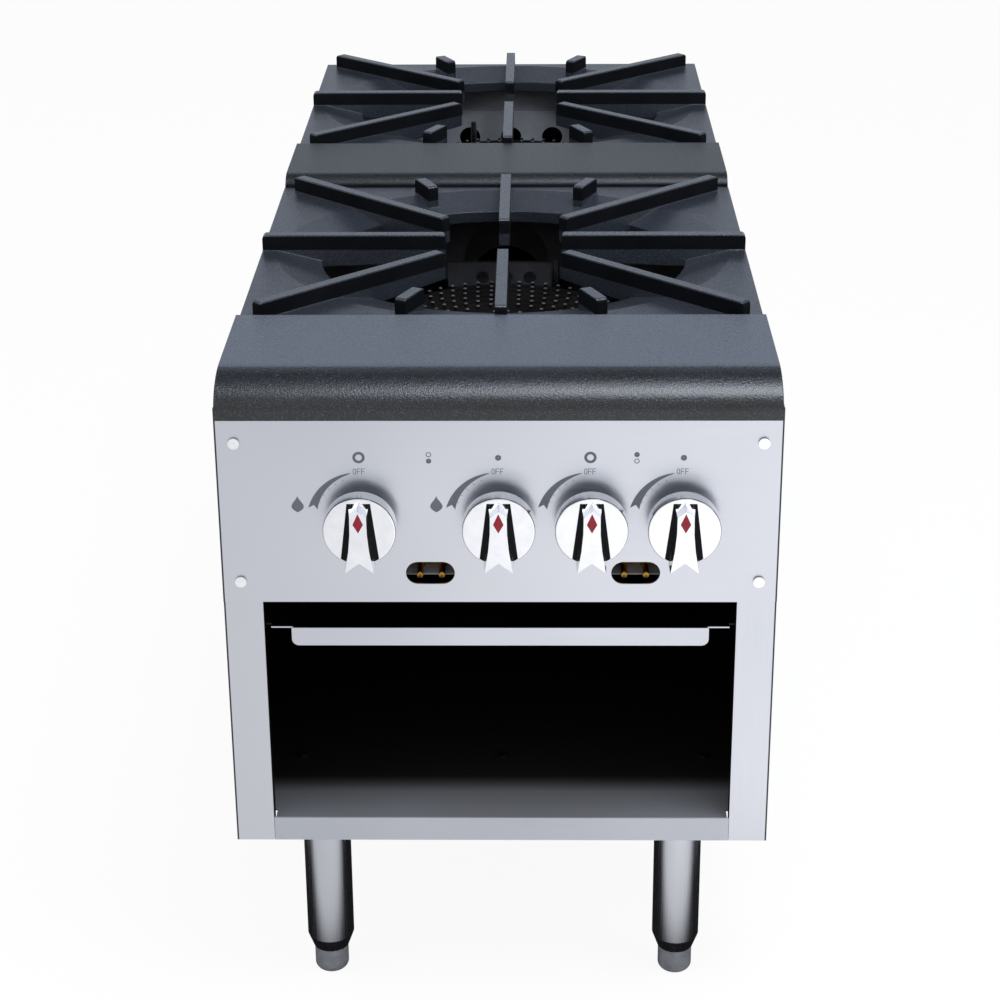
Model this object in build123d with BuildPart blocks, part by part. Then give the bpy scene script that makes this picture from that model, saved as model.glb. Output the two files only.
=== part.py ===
from build123d import *
import os
from math import atan2, cos, degrees, hypot, radians, sin, sqrt

# Stock pot range with a front and a rear burner. Millimetres, +Z up, X to the right, Y to the back.
# The origin lies on the floor, in the middle of the floor area that the whole range takes up.

# ---------------------------------------------------------------- driving dimensions
# Cabinet
body_width = 455.0  # over the two side panels
body_depth = 1073.0  # control panel face to back panel
body_height = 401.7  # underside to the rims that the castings rest on
sheet = 1.5  # every sheet metal wall
flange_width = 32.4  # front flange of a side panel
flange_return = 12.0  # its edge turned back into the cabinet
foot_flange = 25.0  # flange along the bottom of a side panel
rim_flange = 18.0  # flange along the top of a side panel
back_flange = 12.0  # flange along the back edge of a side panel
shelf_height = 22.0  # cabinet underside to shelf top, and the height of the shelf's front lip
opening_height = 230.0  # cabinet underside to the control panel's lower edge
panel_return = 15.0  # the control panel's lower and upper edges, turned back

# Legs
leg_height = 160.0  # floor to cabinet underside
leg_radius = 20.65
leg_wall = 1.5
leg_inset_x = 73.0  # cabinet side to leg axis
leg_inset_y = 45.0  # cabinet front or back to leg axis
leg_plate = 80.0  # square plate on top of a leg
leg_plate_thick = 3.0
leg_nose = 25.0  # floor to the bottom of the leg
leg_taper = 13.0
leg_nose_radius = 16.0
foot_radius = 15.0
foot_round = 6.0
stud_radius = 6.0
stud_length = 50.0  # foot stud inside the leg
channel_span = 84.0  # leg channel across, front to back
channel_flange = 28.0

# Castings
casting_inset = 2.5  # cabinet side to casting side
casting_wall = 8.0
nose_overhang = 12.0  # front casting in front of the control panel
rear_overhang = 8.0  # rear casting behind the back panel
nose_drop = 6.0  # front casting below the cabinet's rims
nose_run, nose_rise = 44.0, 25.0  # its elliptical front
lip_run, lip_rise = 22.0, 22.0  # rounded front of the rear casting
front_ledge = 159.0  # nose to the back of the raised ledge
rear_ledge = 132.0
front_rear_split = 14.5  # the front plate is this much deeper than the rear one
plate_rise = 16.5  # top of the plate above the cabinet's rims
ledge_rise = 9.5  # top of the ledge above the plate
bar_rise = 15.0  # top of the bars above the plate
casting_gap = 0.7  # between the two castings
dish_edge_x = 14.6  # casting side to the dish round a burner opening
dish_edge_front, dish_edge_back = 17.0, 9.0  # ledge to the dish, and dish to the casting's back
dish_slope = 41.0  # plan width of the dish between its edge and the burner opening
rim_drop = 10.0  # plate top to the opening's rim
lip_depth = 11.0  # the rim's lip, downwards
bar_width = 10.0
bar_end_depth = 26.0  # height of a bar's free inner end
bar_bed = 4.0  # depth of a bar's foot in the plate
tip_round = 4.0
side_bar_inner = 54.0  # burner centre to the inner end of each kind of bar
corner_bar_inner = 75.0
end_bar_inner = 43.0
corner_bar_inset = 15.0  # casting side to the outer tip of a corner bar
front_bar_gap = 6.0  # ledge to the outer end of the front bar
stub_near_x, stub_far_x = 70.0, 87.0  # inner and outer end of a stub from the middle
stub_lap = 2.0  # a stub's inner end on the rim, outside the opening
stub_edge = 7.0  # a stub's outer end inside the dish's edge

# Burners
head_level = 330.0  # cabinet underside to the underside of a ring
head_height = 12.0  # ring casting, without its ports
port_rise = 2.5  # height of a row of ports on the head
port_half, port_crest = 4.0, 2.4  # half widths of a row of ports at its foot and at its top
port_rows = (47.0, 60.0, 73.0, 86.0, 99.0, 112.0)
inner_port_rows = (12.0, 26.0)
outer_ring, ring_hole, inner_head = 118.0, 40.0, 34.0
head_chamfer = 5.0
arm_width, arm_thick, arm_reach = 14.0, 4.0, 22.0  # the ring's arms that carry the inner head
tube_radius, tube_wall, riser_radius = 16.0, 3.0, 13.0
tube_start = 82.0  # control panel face to the mouth of a burner tube
mouth_hole = 5.5  # hole for the gas jet in the tube's end and in its air shutter
window_inner, window_outer, window_height = 7.0, 12.5, 12.0  # air windows beside it
bend_radius = 30.0
rail_width, rail_thick = 25.0, 6.0
rail_spread = 80.0  # burner centre to a cross rail's axis
side_riser_x = -103.0  # where the front outer tube rises into its ring
rear_riser_setback = 33.0
rear_inner_run = 6.0  # the rear inner tube crosses behind the burner centre

# Baffles behind the burners
front_baffle_gap = 10.0  # front casting's back to the front baffle, which is in front of it
rear_baffle_gap = 29.3  # rear casting's front to the rear baffle
front_arch, rear_arch = 43.0, 38.0  # radii of their half-round openings
front_arch_drop, rear_arch_drop = 58.7, 93.7  # their centres below the cabinet's rims
baffle_drop = 77.7  # the baffles' lower edges below the rims
bracket_setback = 25.0  # the three-hole bracket in front of the front baffle
bracket_width, bracket_height, bracket_offset = 105.0, 25.0, -6.5
bracket_hole, bracket_pitch, bracket_hole_z = 6.5, 24.0, 9.8
rear_wall_gap = 23.0  # rear wall to the back of the cabinet
rear_seam_drop, rear_lap = 38.7, 4.0  # the rear wall's lap joint below the rims
rear_wall_drop = 91.7
rear_hole, rear_hole_pitch, rear_hole_drop = 12.5, 50.4, 66.7

# Gas train
knob_axis = 306.0  # cabinet underside to the knob axes
knob_places = (("front_outer", -111.5), ("front_inner", 0.0), ("rear_outer", 74.3), ("rear_inner", 148.6))
manifold_radius = 13.35  # three-quarter inch pipe
manifold_y, manifold_z = 40.0, 274.0  # its axis from the panel face and the cabinet underside
manifold_inset = 37.5  # left cabinet side to the manifold's end
inlet_inset = 27.5  # right cabinet side to the inlet pipe's axis
inlet_bend, inlet_lead = 28.0, 4.0  # the inlet pipe's bend, and its straight end at the manifold
pipe_wall = 2.9
pipe_reach = 38.0  # inlet pipe behind the back panel
pipe_thread, thread_groove, thread_relief = 20.0, 2.0, 0.4  # its threaded end and the groove behind it
boss_radius, boss_top = 10.0, 18.0  # the manifold's bosses for the burner valves
valve_radius, valve_front, valve_back = 12.0, 20.0, 58.0
valve_neck, valve_neck_front = 8.0, 12.0
spud_radius, spud_taper, spud_end = 7.0, 70.0, 80.0
spud_tip, spud_bore = 4.0, 0.9
stem_radius, stem_end = 4.0, 40.0
panel_stem_hole = 6.0
shutter_front, shutter_end, shutter_sheet = 80.3, 96.0, 1.2

# Pilots
pilot_places = (("front", -56.5), ("rear", 111.3))
pilot_axis = 250.5  # cabinet underside to the adjusting screws
slot_length, slot_height = 40.0, 20.0
slot_z = 256.5
pilot_width, pilot_deep, pilot_tall = 32.0, 14.0, 10.0
pilot_y = 37.0  # control panel face to a pilot valve
pilot_boss = 7.0
pilot_collar, pilot_collar_reach = 4.2, 4.0
pilot_screw_radius, pilot_screw_pitch, pilot_screw_front, pilot_screw_end = 2.5, 18.0, 8.0, 46.0
pilot_slot_width, pilot_slot_depth = 0.9, 1.4
pilot_tube_radius, pilot_tube_wall, pilot_bend = 3.0, 0.8, 18.0
pilot_setback = 128.0  # pilot burner behind the burner centre
pilot_burner_x = {"front": 50.0, "rear": -45.0}  # and from the middle
pilot_burner_radius, pilot_burner_bore = 3.3, 1.5
pilot_burner_bottom, pilot_burner_top = 340.0, 363.0

# Knobs
knob_radius, knob_depth = 29.3, 15.0
knob_edge = 1.2
hub_radius, hub_depth, knob_gap = 11.0, 10.0, 2.0  # hub behind the disc, and its gap to the panel
grip_rise, grip_bed = 11.0, 4.0
bore_depth = 14.0  # length of stem inside the knob
groove_depth = 1.5
groove_outline = ((-9.4, 24.7), (9.4, 24.7), (17.4, -40.0), (-17.4, -40.0))
grip_front = ((0.0, 22.5), (6.7, 17.4), (6.9, 2.7), (8.3, -12.3), (11.5, -31.5), (0.0, -22.7))
grip_foot = ((0.0, 28.5), (8.4, 22.5), (8.0, 2.7), (9.2, -12.3), (12.2, -29.5), (0.0, -22.0))

# Drip tray and its rails
tray_inset, tray_sheet = 54.5, 1.2  # cabinet side to the tray's side
tray_bottom, tray_lip = 187.0, 16.3  # cabinet underside to the tray, and height of the tray's lip
tray_front, tray_back_gap = 5.0, 33.0  # panel face and back panel to the tray's ends
tray_flange = 17.0
tray_corner = 6.0
rail_level = 202.5  # cabinet underside to the top of the rails' bearing legs
rail_gap, rail_back_gap = 3.0, 28.0  # tray side and back panel to a rail
rail_web = 24.0

# Fasteners and fits
screw_radius, screw_hole, screw_head, screw_head_height, screw_length = 2.1, 2.4, 4.6, 2.6, 9.0
panel_screw_inset = 15.5  # cabinet side to the panel screws
panel_screw_lift, panel_screw_drop = 19.0, 29.7  # above the opening, and below the rims
shelf_screw_inset, shelf_screw_y = 47.5, 105.0
fit = 0.3  # between pieces that move past each other
running_fit = 0.05  # between a stem or stud and its bore

# ---------------------------------------------------------------- places that follow from them
knob_reach = knob_gap + hub_depth + knob_depth + grip_rise
front = knob_reach - (knob_reach + body_depth + pipe_reach) / 2  # control panel face
back = front + body_depth
half_body = body_width / 2
inner_half = half_body - sheet
half_casting = half_body - casting_inset
under = leg_height
rim = under + body_height
shelf_top = under + shelf_height
opening_top = under + opening_height
skirt_z = rim + fit
plate_top = skirt_z + plate_rise
ledge_top = plate_top + ledge_rise
bar_top = plate_top + bar_rise
rim_z = plate_top - rim_drop
front_ledge_back = front - nose_overhang + front_ledge
plates = back + rear_overhang - front_ledge_back - casting_gap - rear_ledge
front_casting_back = front_ledge_back + (plates + front_rear_split) / 2
rear_casting_front = front_casting_back + casting_gap
rear_ledge_back = rear_casting_front + rear_ledge
rear_casting_back = back + rear_overhang
front_centre = (front_ledge_back + dish_edge_front + front_casting_back - dish_edge_back) / 2
rear_centre = (rear_ledge_back + dish_edge_front + rear_casting_back - dish_edge_back) / 2
dish_x, opening_x = half_casting - dish_edge_x, half_casting - dish_edge_x - dish_slope
front_baffle_y = front_casting_back - front_baffle_gap
rear_baffle_y = rear_casting_front + rear_baffle_gap
wall_y = back - rear_wall_gap
inlet_x = half_body - inlet_inset
manifold_left, manifold_right = manifold_inset - half_body, inlet_x - inlet_bend - inlet_lead
tray_half = half_body - tray_inset
panel_screw_x, shelf_screw_x = half_body - panel_screw_inset, half_body - shelf_screw_inset
panel_screw_levels = (opening_top + panel_screw_lift, rim - panel_screw_drop)
head_z = under + head_level
head_top = head_z + head_height
axis_z = under + knob_axis
manifold_axis_y, manifold_axis_z = front + manifold_y, under + manifold_z
pilot_z = under + pilot_axis

os.makedirs("parts", exist_ok=True)


def save(piece, name):
    """Labels a finished piece and writes it to its own file."""
    piece.label = name
    export_step(piece, f"parts/{name}.step")


def slab(x0, x1, y0, y1, z0, z1, mode=Mode.ADD):
    """A straight-sided block between two opposite corners."""
    with Locations(((x0 + x1) / 2, (y0 + y1) / 2, (z0 + z1) / 2)):
        Box(abs(x1 - x0), abs(y1 - y0), abs(z1 - z0), mode=mode)


def rod(start, along, radius, length, mode=Mode.ADD):
    """A round bar or a round hole of one radius, from a point along a direction."""
    with Locations(Plane(origin=start, z_dir=along)):
        Cylinder(radius, length, align=(Align.CENTER, Align.CENTER, Align.MIN), mode=mode)


def ellipse_radius(half_x, half_y, angle):
    """Distance from an ellipse's centre to its edge in one direction."""
    return 1 / sqrt((cos(angle) / half_x) ** 2 + (sin(angle) / half_y) ** 2)


def screws(places, head_up):
    """Round-headed screws at the given places, with their heads on the side that head_up points to."""
    for place in places:
        rod(place, head_up, screw_head, screw_head_height)
        rod(place, tuple(-part for part in head_up), screw_radius, screw_length)


# ---------------------------------------------------------------- side panels
for side, name in ((-1, "left_side_panel"), (1, "right_side_panel")):
    with BuildPart() as side_panel:
        outer, wall = side * half_body, side * inner_half
        flange_edge = side * (half_body - flange_width)
        slab(outer, wall, front + sheet, back - sheet, under, rim)
        slab(wall, flange_edge, front + sheet, front + 2 * sheet, under, rim)
        slab(
            flange_edge,
            flange_edge + side * sheet,
            front + 2 * sheet,
            front + 2 * sheet + flange_return,
            under,
            opening_top,
        )
        slab(wall, side * (half_body - back_flange), back - 2 * sheet, back - sheet, under, rim)
        flange_start, flange_end = front + 2 * sheet + flange_return, back - 2 * sheet
        slab(wall, side * (half_body - foot_flange), flange_start, flange_end, under, under + sheet)
        slab(wall, side * (half_body - rim_flange), flange_start, flange_end, rim - sheet, rim)
        for level in panel_screw_levels:
            hole_at = (side * panel_screw_x, front, level)
            rod(hole_at, (0, 1, 0), screw_hole, 4 * sheet, Mode.SUBTRACT)
    save(side_panel.part, name)

# ---------------------------------------------------------------- back panel
with BuildPart() as back_panel:
    slab(-half_body, half_body, back - sheet, back, under, rim)
    inlet_hole = (inlet_x, back - 2 * sheet, manifold_axis_z)
    rod(inlet_hole, (0, 1, 0), manifold_radius + fit, 4 * sheet, Mode.SUBTRACT)
save(back_panel.part, "back_panel")

# ---------------------------------------------------------------- shelf, its channels and screws
lip_half = half_body - flange_width - fit
shelf_front = front + 2 * sheet + flange_return + fit
shelf_screw_places = [(x, front + shelf_screw_y, shelf_top) for x in (-shelf_screw_x, 0, shelf_screw_x)]
with BuildPart() as bottom_shelf:
    slab(-inner_half, inner_half, shelf_front, back - 2 * sheet - fit, shelf_top - sheet, shelf_top)
    slab(-lip_half + sheet, lip_half - sheet, front + sheet, shelf_front, shelf_top - sheet, shelf_top)
    slab(-lip_half, lip_half, front + sheet, front + 2 * sheet, under, shelf_top)
    for side in (-1, 1):
        edge = side * inner_half
        slab(edge, edge - side * sheet, shelf_front, back - 2 * sheet - fit, under + sheet, shelf_top)
    for x, y, z in shelf_screw_places:
        rod((x, y, z + sheet), (0, 0, -1), screw_hole, 4 * sheet, Mode.SUBTRACT)
save(bottom_shelf.part, "bottom_shelf")

web_z = under + leg_plate_thick
channel_half = half_body - flange_width - fit
with BuildPart() as leg_channels:
    for middle, inward in ((front + leg_inset_y + fit, 1), (back - leg_inset_y, -1)):
        outer_edge = middle - inward * channel_span / 2
        inner_edge = middle + inward * channel_span / 2
        slab(-channel_half, channel_half, outer_edge, inner_edge, web_z, web_z + sheet)
        for edge, turn in ((outer_edge, inward), (inner_edge, -inward)):
            slab(-channel_half, channel_half, edge, edge + turn * sheet, web_z, shelf_top - sheet)
        flange_tip, flange_top = inner_edge + inward * channel_flange, shelf_top - sheet
        slab(-channel_half, channel_half, inner_edge, flange_tip, flange_top - sheet, flange_top)
    for x, y, z in shelf_screw_places:
        rod((x, y, z), (0, 0, -1), screw_hole, 4 * sheet, Mode.SUBTRACT)
save(leg_channels.part, "leg_channels")

with BuildPart() as shelf_screws:
    screws(shelf_screw_places, (0, 0, 1))
save(shelf_screws.part, "shelf_screws")

# ---------------------------------------------------------------- legs and their screw-in feet
leg_x = half_body - leg_inset_x
corners = (
    ("front_left", -leg_x, front + leg_inset_y),
    ("front_right", leg_x, front + leg_inset_y),
    ("rear_left", -leg_x, back - leg_inset_y),
    ("rear_right", leg_x, back - leg_inset_y),
)
insert_top = leg_nose + leg_taper
stud_hole = stud_radius + running_fit
for corner, x, y in corners:
    with BuildPart() as leg:
        with BuildSketch(Plane(origin=(x, y, 0), x_dir=(1, 0, 0), z_dir=(0, -1, 0))):
            with BuildLine():
                Polyline(
                    (stud_hole, leg_nose),
                    (leg_nose_radius, leg_nose),
                    (leg_radius, insert_top),
                    (leg_radius, under),
                    (leg_radius - leg_wall, under),
                    (leg_radius - leg_wall, insert_top + leg_taper),
                    (stud_hole, insert_top + leg_taper),
                    close=True,
                )
            make_face()
        revolve(axis=Axis((x, y, 0), (0, 0, 1)))
        with BuildSketch(Plane.XY.offset(under)):
            with Locations((x, y)):
                RectangleRounded(leg_plate, leg_plate, leg_taper)
        extrude(amount=leg_plate_thick)
    save(leg.part, f"leg_{corner}")

    with BuildPart() as foot:
        rod((x, y, 0), (0, 0, 1), foot_radius, leg_nose - fit)
        fillet(foot.edges().group_by(Axis.Z)[0], foot_round)
        rod((x, y, leg_nose - fit), (0, 0, 1), stud_radius, stud_length)
    save(foot.part, f"foot_{corner}")

# ---------------------------------------------------------------- control panel and its screws
panel_screw_places = [
    (side * panel_screw_x, front, level) for side in (-1, 1) for level in panel_screw_levels
]
with BuildPart() as control_panel:
    slab(-half_body, half_body, front, front + sheet, opening_top, rim)
    return_half = half_body - flange_width - sheet - fit
    for level in (opening_top, rim - sheet):
        slab(-return_half, return_half, front + sheet, front + panel_return, level, level + sheet)
    for place in panel_screw_places:
        rod(place, (0, 1, 0), screw_hole, sheet, Mode.SUBTRACT)
    for name, x in knob_places:
        rod((x, front, axis_z), (0, 1, 0), panel_stem_hole, sheet, Mode.SUBTRACT)
    for name, x in pilot_places:
        with BuildSketch(Plane(origin=(x, front, under + slot_z), x_dir=(1, 0, 0), z_dir=(0, -1, 0))):
            SlotOverall(slot_length, slot_height)
        extrude(amount=-sheet, mode=Mode.SUBTRACT)
save(control_panel.part, "control_panel")

with BuildPart() as control_panel_screws:
    screws(panel_screw_places, (0, -1, 0))
save(control_panel_screws.part, "control_panel_screws")

# ---------------------------------------------------------------- baffles, bracket and rear wall
baffles = (
    ("front_baffle", front_baffle_y, front_arch, rim - front_arch_drop),
    ("rear_baffle", rear_baffle_y, rear_arch, rim - rear_arch_drop),
)
baffle_z = rim - baffle_drop
for name, y, arch, arch_z in baffles:
    with BuildPart() as baffle:
        slab(-inner_half, inner_half, y, y + sheet, baffle_z, rim - sheet)
        rod((0, y, arch_z), (0, 1, 0), arch, sheet, Mode.SUBTRACT)
        if arch_z > baffle_z:
            slab(-arch, arch, y, y + sheet, baffle_z, arch_z)
    save(baffle.part, name)

with BuildPart() as front_burner_bracket:
    bracket_left = bracket_offset - bracket_width / 2
    bracket_right = bracket_left + bracket_width
    plate_y = front_baffle_y - bracket_setback
    slab(bracket_left, bracket_right, plate_y, plate_y + sheet, baffle_z, baffle_z + bracket_height)
    slab(bracket_left, bracket_right, plate_y, front_baffle_y, baffle_z, baffle_z + sheet)
    for step in (-1, 0, 1):
        hole_at = (step * bracket_pitch, plate_y, baffle_z + bracket_hole_z)
        rod(hole_at, (0, 1, 0), bracket_hole, sheet, Mode.SUBTRACT)
save(front_burner_bracket.part, "front_burner_bracket")

with BuildPart() as rear_upper_wall:
    slab(-inner_half, inner_half, wall_y + sheet, wall_y + 2 * sheet, rim - rear_seam_drop, rim - sheet)
save(rear_upper_wall.part, "rear_upper_wall")

with BuildPart() as rear_lower_wall:
    lap_top = rim - rear_seam_drop + rear_lap
    slab(-inner_half, inner_half, wall_y, wall_y + sheet, rim - rear_wall_drop, lap_top)
    for step in (-1, 0, 1):
        hole_at = (step * rear_hole_pitch, wall_y, rim - rear_hole_drop)
        rod(hole_at, (0, 1, 0), rear_hole, sheet, Mode.SUBTRACT)
save(rear_lower_wall.part, "rear_lower_wall")

# ---------------------------------------------------------------- burner cross rails
for place, centre in (("front", front_centre), ("rear", rear_centre)):
    with BuildPart() as cross_rails:
        for side in (-1, 1):
            rail_front = centre + side * rail_spread - rail_width / 2
            slab(-inner_half, inner_half, rail_front, rail_front + rail_width, head_z - rail_thick, head_z)
    save(cross_rails.part, f"{place}_burner_rails")

# ---------------------------------------------------------------- burners
tube_mouth = front + tube_start
burners = (
    ("front_outer", front_centre, side_riser_x, front_centre),
    ("front_inner", front_centre, 0.0, front_centre),
    ("rear_outer", rear_centre, knob_places[2][1], rear_centre - rear_riser_setback),
    ("rear_inner", rear_centre, 0.0, rear_centre + rear_inner_run),
)
for (name, centre, riser_x, riser_y), (_, x) in zip(burners, knob_places):
    outer = name.endswith("outer")
    hole, edge = (ring_hole, outer_ring) if outer else (0.0, inner_head)
    foot_z = head_z if outer else head_z + arm_thick
    rows = port_rows if outer else inner_port_rows
    profile = [
        (hole, foot_z),
        (edge - head_chamfer, foot_z),
        (edge, foot_z + head_chamfer),
        (edge, head_top),
    ]
    for row in reversed(rows):
        profile += [(row + port_half, head_top), (row + port_crest, head_top + port_rise)]
        profile += [(row - port_crest, head_top + port_rise), (row - port_half, head_top)]
    with BuildPart() as burner:
        with BuildSketch(Plane(origin=(0, centre, 0), x_dir=(1, 0, 0), z_dir=(0, -1, 0))):
            with BuildLine():
                Polyline(*profile, (hole, head_top), close=True)
            make_face()
        revolve(axis=Axis((0, centre, 0), (0, 0, 1)))
        if outer:
            for turn in (30, 150, 270):
                arm_dir = (cos(radians(turn)), sin(radians(turn)), 0)
                with BuildSketch(Plane(origin=(0, centre, foot_z), x_dir=arm_dir, z_dir=(0, 0, 1))):
                    with Locations(((arm_reach + ring_hole + head_chamfer) / 2, 0)):
                        Rectangle(ring_hole + head_chamfer - arm_reach, arm_width)
                extrude(amount=arm_thick)
        if name == "rear_inner":
            with BuildLine():
                FilletPolyline(
                    (x, tube_mouth, axis_z),
                    (x, riser_y, axis_z),
                    (riser_x, riser_y, axis_z),
                    radius=bend_radius,
                )
            with BuildSketch(Plane(origin=(x, tube_mouth, axis_z), z_dir=(0, 1, 0))):
                Circle(tube_radius)
            sweep()
        else:
            rod((x, tube_mouth, axis_z), (0, 1, 0), tube_radius, riser_y - tube_mouth)
        rod((riser_x, riser_y, axis_z), (0, 0, 1), riser_radius, foot_z + head_chamfer - axis_z)
        bore_start = tube_mouth + tube_wall
        bore_length = riser_y - bore_start - bend_radius
        rod((x, bore_start, axis_z), (0, 1, 0), tube_radius - tube_wall, bore_length, Mode.SUBTRACT)
        rod((x, tube_mouth, axis_z), (0, 1, 0), mouth_hole, tube_wall, Mode.SUBTRACT)
        with BuildSketch(Plane(origin=(x, tube_mouth, axis_z), x_dir=(1, 0, 0), z_dir=(0, -1, 0))):
            Circle(window_outer)
            Circle(window_inner, mode=Mode.SUBTRACT)
            Rectangle(2 * window_outer, window_height, mode=Mode.INTERSECT)
        extrude(amount=-tube_wall, mode=Mode.SUBTRACT)
    save(burner.part, f"{name}_burner")

    with BuildPart() as shutter:
        sleeve_bore = tube_radius + running_fit
        sleeve_length = shutter_end - shutter_front
        rod((x, front + shutter_front, axis_z), (0, 1, 0), sleeve_bore + shutter_sheet, sleeve_length)
        cup_floor = front + shutter_front + shutter_sheet
        cup_depth = sleeve_length - shutter_sheet
        rod((x, cup_floor, axis_z), (0, 1, 0), sleeve_bore, cup_depth, Mode.SUBTRACT)
        face = (x, front + shutter_front, axis_z)
        with BuildSketch(Plane(origin=face, x_dir=(1, 0, 0), z_dir=(0, -1, 0))):
            Circle(window_outer)
            Circle(window_inner, mode=Mode.SUBTRACT)
            Rectangle(2 * window_outer, window_height, mode=Mode.INTERSECT)
            Circle(mouth_hole)
        extrude(amount=-shutter_sheet, mode=Mode.SUBTRACT)
    save(shutter.part, f"{name}_air_shutter")

# ---------------------------------------------------------------- gas manifold, inlet pipe, hangers
pilot_top = pilot_z + pilot_tall / 2
with BuildPart() as gas_manifold:
    run_length = manifold_right - manifold_left
    rod((manifold_left, manifold_axis_y, manifold_axis_z), (1, 0, 0), manifold_radius, run_length)
    for _, x in knob_places:
        rod((x, manifold_axis_y, manifold_axis_z), (0, 0, 1), boss_radius, boss_top)
    for _, x in pilot_places:
        rod((x, manifold_axis_y, pilot_top), (0, 0, 1), pilot_boss, manifold_axis_z - pilot_top)
save(gas_manifold.part, "gas_manifold")

inlet_end = back + pipe_reach
with BuildPart() as gas_inlet_pipe:
    with BuildLine():
        FilletPolyline(
            (manifold_right, manifold_axis_y, manifold_axis_z),
            (inlet_x, manifold_axis_y, manifold_axis_z),
            (inlet_x, inlet_end, manifold_axis_z),
            radius=inlet_bend,
        )
    with BuildSketch(Plane(origin=(manifold_right, manifold_axis_y, manifold_axis_z), z_dir=(1, 0, 0))):
        Circle(manifold_radius)
        Circle(manifold_radius - pipe_wall, mode=Mode.SUBTRACT)
    sweep()
    with BuildSketch(Plane(origin=(inlet_x, inlet_end - pipe_thread, manifold_axis_z), z_dir=(0, -1, 0))):
        Circle(manifold_radius + 1)
        Circle(manifold_radius - thread_relief, mode=Mode.SUBTRACT)
    extrude(amount=thread_groove, mode=Mode.SUBTRACT)
save(gas_inlet_pipe.part, "gas_inlet_pipe")

# ---------------------------------------------------------------- burner valves, orifices, stems, knobs
boss_level = manifold_axis_z + boss_top
for name, x in knob_places:
    with BuildPart() as valve:
        rod((x, front + valve_front, axis_z), (0, 1, 0), valve_radius, valve_back - valve_front)
        rod((x, front + valve_neck_front, axis_z), (0, 1, 0), valve_neck, valve_front - valve_neck_front)
        rod((x, manifold_axis_y, boss_level), (0, 0, 1), valve_neck, axis_z - boss_level)
        bore_length = stem_end + fit - valve_neck_front
        rod(
            (x, front + valve_neck_front, axis_z),
            (0, 1, 0),
            stem_radius + running_fit,
            bore_length,
            Mode.SUBTRACT,
        )
    save(valve.part, f"{name}_valve")

    stem_start = front - knob_gap - bore_depth
    with BuildPart() as stem:
        rod((x, stem_start, axis_z), (0, 1, 0), stem_radius, front + stem_end - stem_start)
    save(stem.part, f"{name}_valve_stem")

with BuildPart() as orifices:
    for _, x in knob_places:
        rod((x, front + valve_back, axis_z), (0, 1, 0), spud_radius, spud_taper - valve_back)
        with Locations(Plane(origin=(x, front + spud_taper, axis_z), z_dir=(0, 1, 0))):
            Cone(
                spud_radius,
                spud_tip,
                spud_end - spud_taper,
                align=(Align.CENTER, Align.CENTER, Align.MIN),
            )
        rod((x, front + valve_back, axis_z), (0, 1, 0), spud_bore, spud_end - valve_back, Mode.SUBTRACT)
save(orifices.part, "burner_orifices")

knob_back = front - knob_gap
disc_back = knob_back - hub_depth
knob_face = disc_back - knob_depth
for name, x in knob_places:
    with BuildPart() as knob:
        rod((x, knob_face, axis_z), (0, 1, 0), knob_radius, knob_depth)
        fillet(knob.edges().filter_by(GeomType.CIRCLE), knob_edge)
        rod((x, disc_back, axis_z), (0, 1, 0), hub_radius, hub_depth)
        with BuildSketch(Plane(origin=(x, knob_face, axis_z), x_dir=(1, 0, 0), z_dir=(0, -1, 0))):
            Polygon(*groove_outline, align=None)
        extrude(amount=-groove_depth, mode=Mode.SUBTRACT)
        grip_planes = ((knob_face + grip_bed, grip_foot), (knob_face - grip_rise, grip_front))
        for y, half_outline in grip_planes:
            mirrored = [(-px, py) for px, py in reversed(half_outline[1:-1])]
            with BuildSketch(Plane(origin=(x, y, axis_z), x_dir=(1, 0, 0), z_dir=(0, -1, 0))):
                Polygon(*half_outline, *mirrored, align=None)
        loft(ruled=True)
        rod((x, knob_back, axis_z), (0, -1, 0), stem_radius, bore_depth, Mode.SUBTRACT)
    save(knob.part, f"{name}_knob")

# ---------------------------------------------------------------- pilot valves, screws, tubes, burners
pilot_front = front + pilot_y
for name, x in pilot_places:
    centre = front_centre if name == "front" else rear_centre
    screw_xs = {"left": x - pilot_screw_pitch / 2, "right": x + pilot_screw_pitch / 2}
    with BuildPart() as pilot_valve:
        bottom, top = pilot_z - pilot_tall / 2, pilot_z + pilot_tall / 2
        slab(x - pilot_width / 2, x + pilot_width / 2, pilot_front, pilot_front + pilot_deep, bottom, top)
        for screw_x in screw_xs.values():
            rod((screw_x, pilot_front, pilot_z), (0, -1, 0), pilot_collar, pilot_collar_reach)
            rod(
                (screw_x, pilot_front - pilot_collar_reach, pilot_z),
                (0, 1, 0),
                pilot_screw_radius + running_fit,
                pilot_screw_end + fit - pilot_y + pilot_collar_reach,
                Mode.SUBTRACT,
            )
    save(pilot_valve.part, f"{name}_pilot_valve")

    for side, screw_x in screw_xs.items():
        with BuildPart() as pilot_screw:
            screw_run = pilot_screw_end - pilot_screw_front
            screw_tip = front + pilot_screw_front
            rod((screw_x, screw_tip, pilot_z), (0, 1, 0), pilot_screw_radius, screw_run)
            slab(
                screw_x - pilot_slot_width / 2,
                screw_x + pilot_slot_width / 2,
                screw_tip,
                screw_tip + pilot_slot_depth,
                pilot_z - pilot_screw_radius,
                pilot_z + pilot_screw_radius,
                Mode.SUBTRACT,
            )
        save(pilot_screw.part, f"{name}_pilot_{side}_screw")

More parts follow.
